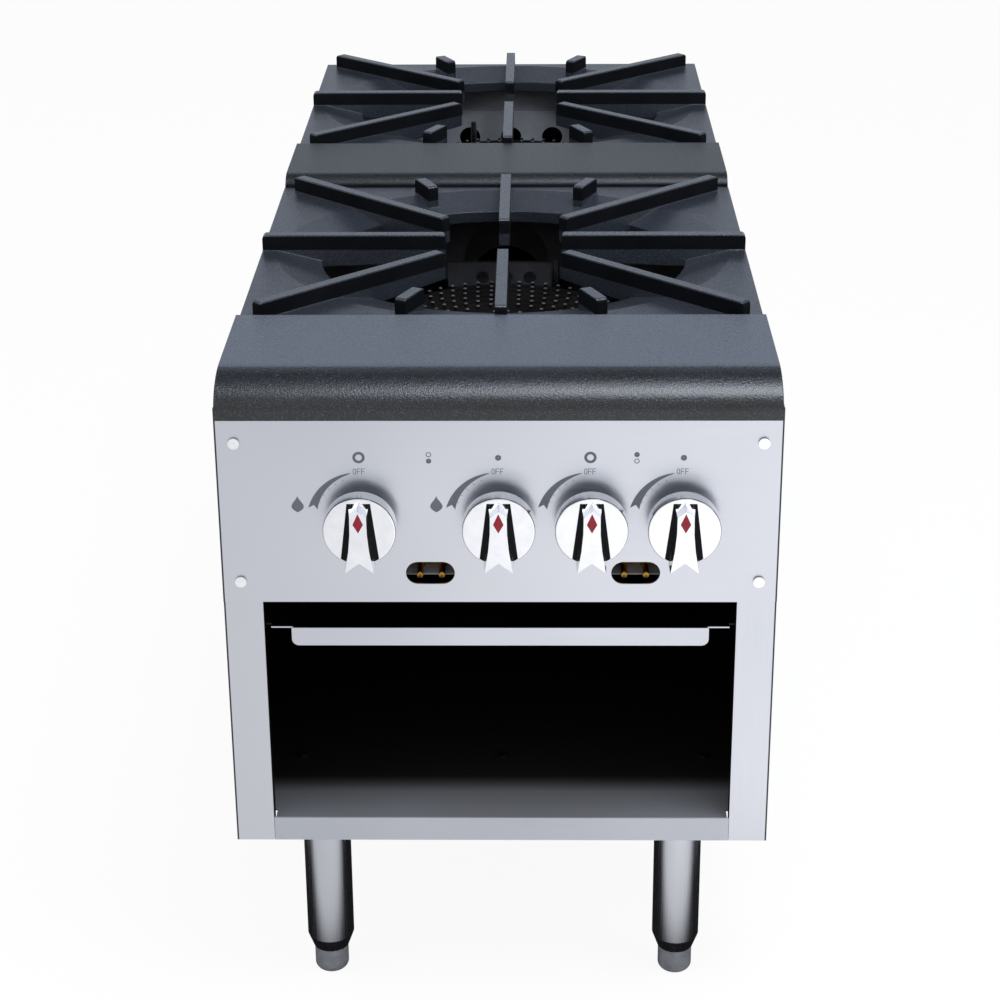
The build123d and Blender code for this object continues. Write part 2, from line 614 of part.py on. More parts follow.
with BuildPart() as pilot_tubes:
    for name, x in pilot_places:
        centre = front_centre if name == "front" else rear_centre
        tube_front = pilot_front + pilot_deep
        with BuildLine():
            FilletPolyline(
                (x, tube_front, pilot_z),
                (x, centre + pilot_setback, pilot_z),
                (pilot_burner_x[name], centre + pilot_setback, pilot_z),
                (pilot_burner_x[name], centre + pilot_setback, under + pilot_burner_bottom),
                radius=pilot_bend,
            )
        with BuildSketch(Plane(origin=(x, tube_front, pilot_z), z_dir=(0, 1, 0))):
            Circle(pilot_tube_radius)
        sweep()
save(pilot_tubes.part, "pilot_tubes")

with BuildPart() as pilot_burners:
    for name, centre in (("front", front_centre), ("rear", rear_centre)):
        burner_foot = (pilot_burner_x[name], centre + pilot_setback, under + pilot_burner_bottom)
        burner_tall = pilot_burner_top - pilot_burner_bottom
        rod(burner_foot, (0, 0, 1), pilot_burner_radius, burner_tall)
        rod(burner_foot, (0, 0, 1), pilot_burner_bore, burner_tall, Mode.SUBTRACT)
save(pilot_burners.part, "pilot_burners")

# ---------------------------------------------------------------- drip tray and its rails
tray_z = under + tray_bottom
lip_z = tray_z + tray_lip
bearing_z = under + rail_level
with BuildPart() as drip_tray:
    pan_start, pan_end = front + tray_front, back - tray_back_gap
    with BuildSketch(Plane(origin=(0, pan_start, 0), x_dir=(1, 0, 0), z_dir=(0, -1, 0))):
        with BuildLine():
            FilletPolyline(
                (-tray_half, lip_z),
                (-tray_half, tray_z),
                (tray_half, tray_z),
                (tray_half, lip_z),
                radius=tray_corner,
            )
            Line((tray_half, lip_z), (-tray_half, lip_z))
        make_face()
    extrude(amount=pan_start - pan_end)
    with BuildSketch(Plane(origin=(0, pan_start + tray_sheet, 0), x_dir=(1, 0, 0), z_dir=(0, -1, 0))):
        with BuildLine():
            inside, inside_z = tray_half - tray_sheet, tray_z + tray_sheet
            FilletPolyline(
                (-inside, lip_z),
                (-inside, inside_z),
                (inside, inside_z),
                (inside, lip_z),
                radius=tray_corner - tray_sheet,
            )
            Line((inside, lip_z), (-inside, lip_z))
        make_face()
    extrude(amount=pan_start - pan_end + 2 * tray_sheet, mode=Mode.SUBTRACT)
    for side in (-1, 1):
        flange_z = bearing_z + fit
        wall_x, flange_x = side * inside, side * (tray_half + tray_flange)
        slab(wall_x, flange_x, pan_start + tray_sheet, pan_end, flange_z, flange_z + tray_sheet)
save(drip_tray.part, "drip_tray")

rail_start = front + 2 * sheet + flange_return + fit
for side, name in ((-1, "left_tray_rail"), (1, "right_tray_rail")):
    with BuildPart() as tray_rail:
        wall_x = side * inner_half
        rail_end = back - rail_back_gap
        slab(wall_x, side * (tray_half + rail_gap), rail_start, rail_end, bearing_z - sheet, bearing_z)
        slab(wall_x, wall_x - side * sheet, rail_start, rail_end, bearing_z, bearing_z + rail_web)
    save(tray_rail.part, name)

# ---------------------------------------------------------------- grate castings
castings = (
    ("front_grate", front - nose_overhang, front_ledge_back, front_casting_back, nose_run, nose_rise),
    ("rear_grate", rear_casting_front, rear_ledge_back, rear_casting_back, lip_run, lip_rise),
)
for name, start, ledge_back, end, run, rise in castings:
    centre = (ledge_back + dish_edge_front + end - dish_edge_back) / 2
    dish_y = centre - ledge_back - dish_edge_front
    opening_y = dish_y - dish_slope
    arc_z = ledge_top - rise
    inner_top, inner_plate = ledge_top - casting_wall, plate_top - casting_wall
    with BuildPart() as grate:
        with BuildSketch(Plane(origin=(-half_casting, 0, 0), x_dir=(0, 1, 0), z_dir=(1, 0, 0))):
            with BuildLine():
                Polyline(
                    (start + run, ledge_top),
                    (ledge_back, ledge_top),
                    (ledge_back, plate_top),
                    (end, plate_top),
                    (end, skirt_z),
                    (start, skirt_z),
                    (start, arc_z),
                )
                EllipticalCenterArc((start + run, arc_z), run, rise, start_angle=90, arc_size=90)
            make_face()
        extrude(amount=2 * half_casting)
        if name == "front_grate":
            slab(-half_casting, half_casting, start, start + casting_wall, skirt_z - nose_drop, skirt_z)
        inner_side = (casting_wall - half_casting, 0, 0)
        with BuildSketch(Plane(origin=inner_side, x_dir=(0, 1, 0), z_dir=(1, 0, 0))):
            with BuildLine():
                Polyline(
                    (start + run, inner_top),
                    (ledge_back - casting_wall, inner_top),
                    (ledge_back - casting_wall, inner_plate),
                    (end - casting_wall, inner_plate),
                    (end - casting_wall, skirt_z - casting_wall),
                    (start + casting_wall, skirt_z - casting_wall),
                    (start + casting_wall, arc_z),
                )
                EllipticalCenterArc(
                    (start + run, arc_z),
                    run - casting_wall,
                    rise - casting_wall,
                    start_angle=90,
                    arc_size=90,
                )
            make_face()
        extrude(amount=2 * (half_casting - casting_wall), mode=Mode.SUBTRACT)
        bowl = casting_wall / 4
        with BuildSketch(Plane(origin=(0, centre, inner_plate))):
            Ellipse(dish_x + bowl, dish_y + bowl)
        with BuildSketch(Plane(origin=(0, centre, rim_z - casting_wall))):
            Ellipse(opening_x + casting_wall, opening_y + casting_wall)
        loft()
        with BuildSketch(Plane(origin=(0, centre, rim_z))):
            Ellipse(opening_x + casting_wall, opening_y + casting_wall)
        extrude(amount=-lip_depth)
        with BuildSketch(Plane(origin=(0, centre, plate_top))):
            Ellipse(dish_x, dish_y)
        with BuildSketch(Plane(origin=(0, centre, rim_z))):
            Ellipse(opening_x, opening_y)
        loft(mode=Mode.SUBTRACT)
        with BuildSketch(Plane(origin=(0, centre, rim_z))):
            Ellipse(opening_x, opening_y)
        extrude(amount=-lip_depth, mode=Mode.SUBTRACT)

        front_bar_reach = centre - ledge_back - front_bar_gap
        bars = [
            (0, side_bar_inner, half_casting),
            (180, side_bar_inner, half_casting),
            (90, end_bar_inner, end - centre),
            (270, end_bar_inner, front_bar_reach),
        ]
        corner_x = half_casting - corner_bar_inset
        stub_near_y, stub_far_y = opening_y + stub_lap, dish_y - stub_edge
        for sign_x, sign_y in ((1, 1), (-1, 1), (1, -1), (-1, -1)):
            corner = degrees(atan2(sign_y * dish_y, sign_x * corner_x))
            bars.append((corner, corner_bar_inner, hypot(corner_x, dish_y)))
            stub = degrees(atan2(sign_y * stub_far_y, sign_x * stub_far_x))
            bars.append((stub, hypot(stub_near_x, stub_near_y), hypot(stub_far_x, stub_far_y)))
        for turn, inner, tip in bars:
            angle = radians(turn)
            rim_at = ellipse_radius(opening_x, opening_y, angle) + 2
            dish_at = ellipse_radius(dish_x, dish_y, angle) + 4
            points = [(tip, plate_top - bar_bed - 2), (tip, bar_top), (inner, bar_top)]
            if inner < rim_at:
                points += [
                    (inner, bar_top - bar_end_depth),
                    (rim_at, rim_z - bar_bed - 2),
                    (dish_at, plate_top - bar_bed),
                ]
            else:
                points += [(inner, rim_z)]
            along, across = (cos(angle), sin(angle), 0), (sin(angle), -cos(angle), 0)
            with BuildSketch(Plane(origin=(0, centre, 0), x_dir=along, z_dir=across)) as web:
                Polygon(*points, align=None)
                fillet(web.vertices().group_by(Axis.Y)[-1], tip_round)
            extrude(amount=bar_width / 2, both=True)
    save(grate.part, name)
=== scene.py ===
# %% [markdown]
# # A stock pot range
#
# The frame is the imported CAD model. Every solid in it already has its true size and place, so this
# lesson adds what solids can't show: finishes, small printed marks, the burner ports and the light.
# The frame comes first.

# %% Load the frame
import math

import bpy
import numpy as np
from mathutils import Matrix, Vector


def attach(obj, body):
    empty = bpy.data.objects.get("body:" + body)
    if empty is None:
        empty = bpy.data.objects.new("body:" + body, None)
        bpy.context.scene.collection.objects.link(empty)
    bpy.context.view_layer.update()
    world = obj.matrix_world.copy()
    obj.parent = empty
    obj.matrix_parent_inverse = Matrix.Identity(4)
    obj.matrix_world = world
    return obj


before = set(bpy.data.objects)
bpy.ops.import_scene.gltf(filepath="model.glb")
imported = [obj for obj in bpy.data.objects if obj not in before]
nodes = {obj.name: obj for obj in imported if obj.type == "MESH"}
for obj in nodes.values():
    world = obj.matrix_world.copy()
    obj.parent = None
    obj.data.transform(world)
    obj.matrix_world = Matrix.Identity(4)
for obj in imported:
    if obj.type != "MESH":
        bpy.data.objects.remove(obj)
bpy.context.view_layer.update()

# %% [markdown]
# ## The camera
#
# A photograph of a product is taken from far away with a long lens, so that straight edges hardly
# converge. The place of the camera was solved from the corners of the range in the photograph. The
# picture's middle lies below the lens axis, which is what a shift does, so the camera gets the same.

# %% Place the camera
FRONT = -0.5365  # the control panel's face, in metres
PICTURE = 1000  # pixels along each side of the picture
LENS_PIXELS, AXIS_ROW = 2287.0, 420.0
SENSOR = 36.0  # millimetres
EYE = Vector((0.0292, FRONT - 1.681, 1.2451))
YAW, PITCH, ROLL = (math.radians(angle) for angle in (-0.95, 22.41, 0.40))


def place_camera(eye, yaw, pitch, roll):
    """Looks along (sin yaw cos pitch, cos yaw cos pitch, -sin pitch), then rolls about that line."""
    level = math.cos(pitch)
    forward = Vector((math.sin(yaw) * level, math.cos(yaw) * level, -math.sin(pitch)))
    right = forward.cross(Vector((0, 0, 1))).normalized()
    right = Matrix.Rotation(roll, 3, forward) @ right
    turn = Matrix((right, right.cross(forward), -forward)).transposed()
    data = bpy.data.cameras.new("camera")
    data.sensor_width = SENSOR
    data.lens = LENS_PIXELS / PICTURE * SENSOR
    data.shift_y = (AXIS_ROW - PICTURE / 2) / PICTURE
    camera = bpy.data.objects.new("camera", data)
    camera.matrix_world = Matrix.Translation(eye) @ turn.to_4x4()
    bpy.context.scene.collection.objects.link(camera)
    bpy.context.scene.camera = camera
    return camera


camera = place_camera(EYE, YAW, PITCH, ROLL)
print("camera:", [round(v, 3) for v in camera.location], "lens", round(camera.data.lens, 1), "mm")

# %% [markdown]
# ## Colours and nodes
#
# Colours are written as the hex values that a screen shows. Blender reckons in linear light, so one
# function turns them. One more function adds a shader node, sets it, and links it in one line. A
# finish is mixed from noise and from masks, so those two patterns get a function each. In a colour
# mix, input 0 is the share, inputs 6 and 7 are the two colours, and output 2 is the result.


# %% Helpers for materials
def linear(code, alpha=1.0):
    """A hex colour in linear light: v / 12.92 below 0.04045, and ((v + 0.055) / 1.055) ** 2.4 above."""
    values = [int(code[i : i + 2], 16) / 255 for i in (0, 2, 4)]
    return tuple(v / 12.92 if v <= 0.04045 else ((v + 0.055) / 1.055) ** 2.4 for v in values) + (alpha,)


def add_node(tree, kind, sockets=None, **settings):
    """Adds one node, sets its properties, and gives each named input a value or a link."""
    node = tree.nodes.new(kind)
    for name, value in settings.items():
        setattr(node, name, value)
    for name, value in (sockets or {}).items():
        if isinstance(value, bpy.types.NodeSocket):
            tree.links.new(value, node.inputs[name])
        else:
            node.inputs[name].default_value = value
    return node


def new_material(name):
    """An empty material with an output, and the place of each point of the piece."""
    material = bpy.data.materials.new(name)
    material.use_nodes = True
    tree = material.node_tree
    tree.nodes.clear()
    output = add_node(tree, "ShaderNodeOutputMaterial")
    place = add_node(tree, "ShaderNodeTexCoord").outputs["Object"]
    return material, tree, output, place


def blotches(tree, place, size_mm, low, high, detail=3.0, stretch=(1, 1, 1)):
    """Noise of one grain size in millimetres, spread over the values from low to high."""
    mapping = add_node(tree, "ShaderNodeMapping", {"Vector": place, "Scale": stretch})
    grain = {"Vector": mapping.outputs[0], "Scale": 1000.0 / size_mm, "Detail": detail}
    noise = add_node(tree, "ShaderNodeTexNoise", grain)
    spread = add_node(
        tree,
        "ShaderNodeMapRange",
        {"Value": noise.outputs[0], "From Min": 0.3, "From Max": 0.7, "To Min": low, "To Max": high},
    )
    return spread.outputs[0]


def within(tree, value, low, high, blur=0.0004):
    """1 where a value lies from low to high, and 0 from a blur outside them, by smooth steps."""
    rise = add_node(
        tree,
        "ShaderNodeMapRange",
        {"Value": value, "From Min": low - blur, "From Max": low},
        interpolation_type="SMOOTHSTEP",
    )
    fall = add_node(
        tree,
        "ShaderNodeMapRange",
        {"Value": value, "From Min": high + blur, "From Max": high},
        interpolation_type="SMOOTHSTEP",
    )
    both = {0: rise.outputs[0], 1: fall.outputs[0]}
    return add_node(tree, "ShaderNodeMath", both, operation="MULTIPLY").outputs[0]


FAR = 9.0  # metres, past everything

# %% [markdown]
# ## Brushed stainless steel
#
# Kitchen steel is ground with a belt, which leaves fine scratches in one direction. They spread a
# highlight across the grain. The scratches are noise, drawn out long along the grain. Real ones are
# a twentieth of a millimetre apart. They are coarsened to 0.9 mm here, so that the picture shows them.
# The sheets fold into a cabinet, and what faces its inside is left dull, with painted shade in its colour.
# The tight bends along the outer edges of its front get a painted dark reflection.


# %% Stainless steel
CABINET_HALF = 0.2275  # half the cabinet's width, in metres
SCRATCH_MM, CLOUD_MM = 0.9, 260.0
ALONG_GRAIN = 0.012  # how much the noise is drawn out along the scratches
# The first tone is painted shade for the cabinet's inside; the second is a painted dark reflection on the
# front's bent outer edges.
INSIDE_SHADE_TONE, BEND_REFLECTION_TONE = "121113", "3C3E44"


def outer_bend(tree, place):
    """The last 1.2 mm of the front, at its two outer edges, where the sheets bend back and a dark reflection
    is painted.
    """
    split = add_node(tree, "ShaderNodeSeparateXYZ", {"Vector": place})
    aside = add_node(tree, "ShaderNodeMath", {0: split.outputs[0]}, operation="ABSOLUTE").outputs[0]
    outer = within(tree, aside, CABINET_HALF - 0.0012, FAR)
    fore = within(tree, split.outputs[1], -FAR, FRONT + 0.0022, 0.0008)
    return add_node(tree, "ShaderNodeMath", {0: outer, 1: fore}, operation="MULTIPLY").outputs[0]


def brushed_stainless(name, grain, light, dark, inside=None, metallic=1.0, rough=(0.29, 0.38), bend=False):
    """Steel with scratches along one axis, which turns dull and takes painted shade where inside is 1, and a
    painted dark reflection on its outer bends if bend is set.
    """
    material, tree, output, place = new_material(name)
    stretch = tuple(ALONG_GRAIN if axis == grain else 1.0 for axis in "xyz")
    scratches = blotches(tree, place, SCRATCH_MM, 0.0, 1.0, 2.0, stretch)
    clouds = blotches(tree, place, CLOUD_MM, 0.0, 1.0, 2.0)
    tones = {0: clouds, 6: linear(dark), 7: linear(light)}
    colour = add_node(tree, "ShaderNodeMix", tones, data_type="RGBA").outputs[2]
    gloss = add_node(
        tree, "ShaderNodeMapRange", {"Value": scratches, "To Min": rough[0], "To Max": rough[1]}
    ).outputs[0]
    if inside is not None:
        where = inside(tree, place)
        painted_inside_shade = {0: where, 6: colour, 7: linear(INSIDE_SHADE_TONE)}
        colour = add_node(tree, "ShaderNodeMix", painted_inside_shade, data_type="RGBA").outputs[2]
        duller = {0: where, 1: 0.3, 2: gloss}
        gloss = add_node(tree, "ShaderNodeMath", duller, operation="MULTIPLY_ADD").outputs[0]
    if bend:
        # A dark tone painted on the bends stands in for the dark surroundings they reflect.
        painted_bend_reflection = {0: outer_bend(tree, place), 6: colour, 7: linear(BEND_REFLECTION_TONE)}
        colour = add_node(tree, "ShaderNodeMix", painted_bend_reflection, data_type="RGBA").outputs[2]
    bump = add_node(tree, "ShaderNodeBump", {"Height": scratches, "Strength": 0.09, "Distance": 0.0002})
    shader = add_node(
        tree,
        "ShaderNodeBsdfPrincipled",
        {"Base Color": colour, "Metallic": metallic, "Roughness": gloss, "Normal": bump.outputs[0]},
    )
    tree.links.new(shader.outputs[0], output.inputs["Surface"])
    return material


def side_inside(tree, place):
    """The inner half of a side sheet, which gets painted shade: within 226.8 mm of the middle, and behind
    the front flange.
    """
    split = add_node(tree, "ShaderNodeSeparateXYZ", {"Vector": place})
    inner = within(tree, split.outputs[0], -0.2266, 0.2266, 0.0002)
    behind = within(tree, split.outputs[1], FRONT + 0.0034, FAR)
    return add_node(tree, "ShaderNodeMath", {0: inner, 1: behind}, operation="MULTIPLY").outputs[0]


def back_inside(tree, place):
    """The inner half of the back sheet, which gets painted shade."""
    split = add_node(tree, "ShaderNodeSeparateXYZ", {"Vector": place})
    return within(tree, split.outputs[1], -FAR, FRONT + 1.0720)


def shelf_inside(tree, place):
    """The shelf gets half the painted shade behind its lip, and fades to full painted shade 17 to 73 mm
    behind the panel's face.
    """
    split = add_node(tree, "ShaderNodeSeparateXYZ", {"Vector": place})
    fade = within(tree, split.outputs[1], FRONT + 0.073, FAR, 0.056)
    level = within(tree, split.outputs[1], FRONT + 0.0032, FAR)
    least = add_node(tree, "ShaderNodeMath", {0: level, 1: 0.5}, operation="MULTIPLY").outputs[0]
    return add_node(tree, "ShaderNodeMath", {0: fade, 1: least}, operation="MAXIMUM").outputs[0]


def tray_inside(tree, place):
    """Everything behind the tray's bright front lip, which gets painted shade."""
    split = add_node(tree, "ShaderNodeSeparateXYZ", {"Vector": place})
    return within(tree, split.outputs[1], FRONT + 0.0075, FAR, 0.0008)


panel_steel = brushed_stainless("brushed_stainless_panel", "x", "CDCFD5", "C3C6CD", bend=True)
side_steel = brushed_stainless("brushed_stainless_side", "z", "CACCD2", "C4C7CD", side_inside, bend=True)
back_steel = brushed_stainless("brushed_stainless_back", "z", "C9CBD1", "C2C5CB", back_inside)
shelf_steel = brushed_stainless("brushed_stainless_shelf", "x", "B9BBC2", "A9ACB3", shelf_inside, 0.3)
leg_steel = brushed_stainless("brushed_stainless_tube", "z", "C9CBD1", "B9BCC2", rough=(0.2, 0.3))
tray_steel = brushed_stainless("brushed_stainless_tray", "x", "CDCFD5", "BEC1C8", tray_inside)
print("steels:", 6)

# %% [markdown]
# ## Cast iron
#
# The grates are sand castings with a black heat-proof coat. Sand leaves a grainy skin, with finer grain on
# top, and the coat is a little glossy on each grain, which makes the rounded nose sparkle, helped by pale
# flecks that are painted glints.
# Real grain is about half a millimetre, and is coarsened to 2 mm here so that the picture shows it.
# The bars' sides never meet a pot, and stay dull. The bare burners have no coat at all.


# %% Cast iron
CAST_EDGE = 0.0016  # radius of a casting's edges, in metres
# Pale flecks on the glossy coat are painted glints.
GLINT_TONE = "6A7079"


def cast_iron(name, dark, light, rough, grain_mm, depth_mm, zones):
    """A sand casting: two sizes of grain in the bump, slow clouds, glossy zones, pale painted glints, and
    zones painted paler as highlights.
    """
    material, tree, output, place = new_material(name)
    glossy, painted_light, painted_light_tone = zones(tree, place)
    clouds = blotches(tree, place, 45.0, 0.0, 1.0)
    coarse = blotches(tree, place, grain_mm, 0.0, 1.0, 4.0)
    fine = blotches(tree, place, grain_mm / 2, 0.0, 1.0, 2.0)
    tones = {0: clouds, 6: linear(dark), 7: linear(light)}
    coat = add_node(tree, "ShaderNodeMix", tones, data_type="RGBA").outputs[2]
    # Painted glints, only where the coat is glossy.
    glint_range = {"Value": fine, "From Min": 0.6, "From Max": 1.0, "To Max": 0.26}
    glints = add_node(tree, "ShaderNodeMapRange", glint_range).outputs[0]
    glints = add_node(tree, "ShaderNodeMath", {0: glints, 1: glossy}, operation="MULTIPLY").outputs[0]
    # Zones that catch the light are painted paler, a painted highlight.
    skin = {0: painted_light, 6: coat, 7: linear(painted_light_tone)}
    skin = add_node(tree, "ShaderNodeMix", skin, data_type="RGBA").outputs[2]
    glinted = {0: glints, 6: skin, 7: linear(GLINT_TONE)}
    colour = add_node(tree, "ShaderNodeMix", glinted, data_type="RGBA").outputs[2]
    grains = {0: fine, 1: 0.45, 2: coarse}
    height = add_node(tree, "ShaderNodeMath", grains, operation="MULTIPLY_ADD").outputs[0]
    edge = add_node(tree, "ShaderNodeBevel", {"Radius": CAST_EDGE}, samples=4)
    bump = add_node(
        tree,
        "ShaderNodeBump",
        {"Height": height, "Strength": 0.7, "Distance": depth_mm / 1000, "Normal": edge.outputs[0]},
    )
    dull = add_node(tree, "ShaderNodeMapRange", {"Value": coarse, "To Min": 0.95, "To Max": 0.82})
    shiny = {"Value": coarse, "To Min": rough + 0.1, "To Max": rough - 0.08}
    gloss = add_node(tree, "ShaderNodeMapRange", shiny)
    both = {0: glossy, 2: dull.outputs[0], 3: gloss.outputs[0]}
    roughness = add_node(tree, "ShaderNodeMix", both, data_type="FLOAT")
    shader = add_node(
        tree,
        "ShaderNodeBsdfPrincipled",
        {
            "Base Color": colour,
            "Roughness": roughness.outputs[0],
            "Specular IOR Level": 0.07,
            "Coat Weight": glossy,
            "Coat Roughness": rough,
            "Normal": bump.outputs[0],
            "Coat Normal": bump.outputs[0],
        },
    )
    tree.links.new(shader.outputs[0], output.inputs["Surface"])
    return material


LEDGES = ((-FAR, FRONT + 0.1472), (FRONT + 0.5550, FRONT + 0.6878))  # each nose, to its ledge's back
BAR_TOP, LEDGE_TOP, PLATE_TOP = 0.5935, 0.5880, 0.5785
IRON_TOP = 0.5020  # the burner heads' tops


def grate_zones(tree, place):
    """The coat is glossy but on the bars' sides and under the lip. The ledge's top, the bars' tops and the
    plates are painted paler and bluish, as painted highlights.
    """
    split = add_node(tree, "ShaderNodeSeparateXYZ", {"Vector": place})
    _, depth, height = split.outputs
    first, second = (within(tree, depth, low, high) for low, high in LEDGES)
    ledges = add_node(tree, "ShaderNodeMath", {0: first, 1: second}, operation="MAXIMUM").outputs[0]
    bars = within(tree, height, BAR_TOP - 0.0012, FAR)
    low = within(tree, height, -FAR, PLATE_TOP + 0.0005)
    apart = {0: low, 1: ledges}
    apart = add_node(tree, "ShaderNodeMath", apart, operation="SUBTRACT", use_clamp=True).outputs[0]
    plates = add_node(tree, "ShaderNodeMath", {0: apart, 1: 0.9}, operation="MULTIPLY").outputs[0]
    over = within(tree, height, LEDGE_TOP - 0.004, FAR, 0.005)
    lip = add_node(tree, "ShaderNodeMath", {0: second, 1: over}, operation="MULTIPLY").outputs[0]
    lip = add_node(tree, "ShaderNodeMath", {0: lip, 1: 0.8}, operation="MULTIPLY").outputs[0]
    level = within(tree, height, LEDGE_TOP - 0.0001, FAR)
    painted_light = add_node(tree, "ShaderNodeMath", {0: level, 1: first}, operation="MULTIPLY").outputs[0]
    half = add_node(tree, "ShaderNodeMath", {0: bars, 1: plates}, operation="MAXIMUM").outputs[0]
    half = add_node(tree, "ShaderNodeMath", {0: half, 1: 0.45}, operation="MULTIPLY").outputs[0]
    painted_light = add_node(tree, "ShaderNodeMath", {0: painted_light, 1: half}, operation="MAXIMUM").outputs[0]
    glossy = first
    for zone in (lip, bars, plates):
        glossy = add_node(tree, "ShaderNodeMath", {0: glossy, 1: zone}, operation="MAXIMUM").outputs[0]
    return glossy, painted_light, "3C424D"


def burner_zones(tree, place):
    """A burner is dull but for the studs' rims, which are a little glossy and painted pale as a highlight.
    """
    split = add_node(tree, "ShaderNodeSeparateXYZ", {"Vector": place})
    tips = within(tree, split.outputs[2], IRON_TOP + 0.0058, FAR)
    return tips, tips, "5C5E63"


coated_iron = cast_iron("black_coated_cast_iron", "0A0B0E", "101217", 0.26, 2.0, 0.16, grate_zones)
burner_iron = cast_iron("bare_grey_cast_iron", "0B0B0C", "151413", 0.45, 1.6, 0.15, burner_zones)
print("cast irons:", 2)

# %% [markdown]
# ## The other metals
#
# The knobs are zinc castings with polished chrome, so nearly a mirror. A dark line is painted round each
# knob's face as a painted dark reflection, and behind each panel screw's head as painted shade. The valves
# and jets are turned brass. Inside, sheets are aluminised steel that heat has darkened, and the pipe has a
# black coat.


# %% Other metals
# A dark tone for painted lines: a dark reflection on the knobs' rims, shade under the screws' heads.
DARK_LINE_TONE = "303238"


def plain_metal(name, dark, light, low, high, clouds_mm, metallic=1.0, bevel_mm=0.0, shine=0.5, dark_line=None):
    """A metal whose colour and gloss drift a little from place to place, with a dark line painted in if
    asked.
    """
    material, tree, output, place = new_material(name)
    clouds = blotches(tree, place, clouds_mm, 0.0, 1.0)
    fine = blotches(tree, place, clouds_mm / 9, 0.0, 1.0)
    gloss = add_node(tree, "ShaderNodeMapRange", {"Value": fine, "To Min": low, "To Max": high})
    tones = {0: clouds, 6: linear(dark), 7: linear(light)}
    colour = add_node(tree, "ShaderNodeMix", tones, data_type="RGBA").outputs[2]
    if dark_line:
        split = add_node(tree, "ShaderNodeSeparateXYZ", {"Vector": place})
        line = {0: within(tree, split.outputs[1], *dark_line, 0.0002), 6: colour, 7: linear(DARK_LINE_TONE)}
        colour = add_node(tree, "ShaderNodeMix", line, data_type="RGBA").outputs[2]
    sockets = {
        "Base Color": colour,
        "Metallic": metallic,
        "Roughness": gloss.outputs[0],
        "Specular IOR Level": shine,
    }
    if bevel_mm:
        edge = add_node(tree, "ShaderNodeBevel", {"Radius": bevel_mm / 1000}, samples=4)
        sockets["Normal"] = edge.outputs[0]
    shader = add_node(tree, "ShaderNodeBsdfPrincipled", sockets)
    tree.links.new(shader.outputs[0], output.inputs["Surface"])
    return material


FACE_Y = FRONT - 0.027  # the knobs' faces
# The knobs' rims just behind their faces get a painted dark reflection.
rim = (FACE_Y + 0.0004, FACE_Y + 0.0012)
chrome = plain_metal("chrome_plated_zinc", "E2E4E8", "ECEDF0", 0.10, 0.16, 12.0, bevel_mm=0.5, dark_line=rim)
brass = plain_metal("turned_brass", "9C6F2C", "C79A4B", 0.25, 0.38, 4.0)
dark_sheet = plain_metal("heat_darkened_aluminised_steel", "26262A", "3B3B40", 0.45, 0.6, 30.0)
wall_sheet = plain_metal("aluminised_steel_wall", "80828A", "989AA1", 0.4, 0.55, 40.0, metallic=0.3)
# The lower wall is the same aluminised steel as the upper one, painted paler as painted light.
painted_lighter_lower_sheet = plain_metal(
    "aluminised_steel_lower_wall_painted_lighter", "90939A", "A6A9AF", 0.4, 0.55, 40.0, metallic=0.3
)
baffle_sheet = plain_metal("sooted_steel_baffle", "38383C", "4A4A50", 0.5, 0.65, 25.0, metallic=0.3)
black_pipe = plain_metal("black_coated_pipe", "0E0E10", "17171A", 0.5, 0.62, 9.0, metallic=0.0)
foot_metal = plain_metal("cast_aluminium_foot", "8E9197", "A9ACB2", 0.3, 0.42, 8.0, metallic=0.5)
zinc_plate = plain_metal("zinc_plated_steel", "C4C7CD", "DCDEE3", 0.18, 0.28, 3.0)
# The screws' heads get painted shade where they meet the panel.
under_head = (FRONT - 0.0007, FAR)
screw_metal = plain_metal(
    "nickel_plated_screw", "ECEDF0", "F4F5F7", 0.12, 0.18, 3.0, dark_line=under_head
)
print("metals:", 10)

# %% Give every node its finish
finishes = {
    "control_panel": panel_steel,
    "left_side_panel": side_steel,
    "right_side_panel": side_steel,
    "back_panel": back_steel,
    "bottom_shelf": shelf_steel,
    "drip_tray": tray_steel,
    "left_tray_rail": dark_sheet,
    "right_tray_rail": dark_sheet,
    "front_grate": coated_iron,
    "rear_grate": coated_iron,
    "rear_upper_wall": wall_sheet,
    "rear_lower_wall": painted_lighter_lower_sheet,
    "front_baffle": baffle_sheet,
    "rear_baffle": baffle_sheet,
    "front_burner_bracket": baffle_sheet,
    "gas_manifold": black_pipe,
    "gas_inlet_pipe": black_pipe,
    "pilot_tubes": zinc_plate,
    "pilot_burners": zinc_plate,
    "shelf_screws": dark_sheet,
    "control_panel_screws": screw_metal,
}
endings = (
    ("_burner", burner_iron),
    ("_knob", chrome),
    ("_valve", brass),
    ("_valve_stem", brass),
    ("_screw", brass),
    ("burner_orifices", brass),
)
for corner in ("front_left", "front_right", "rear_left", "rear_right"):
    finishes["foot_" + corner] = foot_metal
for name, node in nodes.items():
    finish = finishes.get(name)
    for ending, material in endings:
        if finish is None and name.endswith(ending):
            finish = material
    if finish is None:
        finish = leg_steel if name.startswith(("leg_f", "leg_r")) else dark_sheet
    for slot in node.material_slots:
        slot.material = finish
print("finished nodes:", len(nodes))

# %% [markdown]
# ## Pieces made from numbers
#
# A small piece is a grid of points: one parameter runs along it and one round it. The points are
# worked out as whole arrays, and the faces come from the grid's rows and columns.


# %% Helpers for meshes
def new_piece(name, points, faces, material, slot, body):
    """Makes a mesh of points in metres and faces, with a finish, and lets it ride on a body."""
    mesh = bpy.data.meshes.new(name)
    mesh.from_pydata(np.asarray(points, float).tolist(), [], [list(map(int, face)) for face in faces])
    mesh.materials.append(material)
    mesh.update()
    piece = bpy.data.objects.new(name, mesh)
    bpy.context.scene.collection.objects.link(piece)
    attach(piece, body)
    return piece


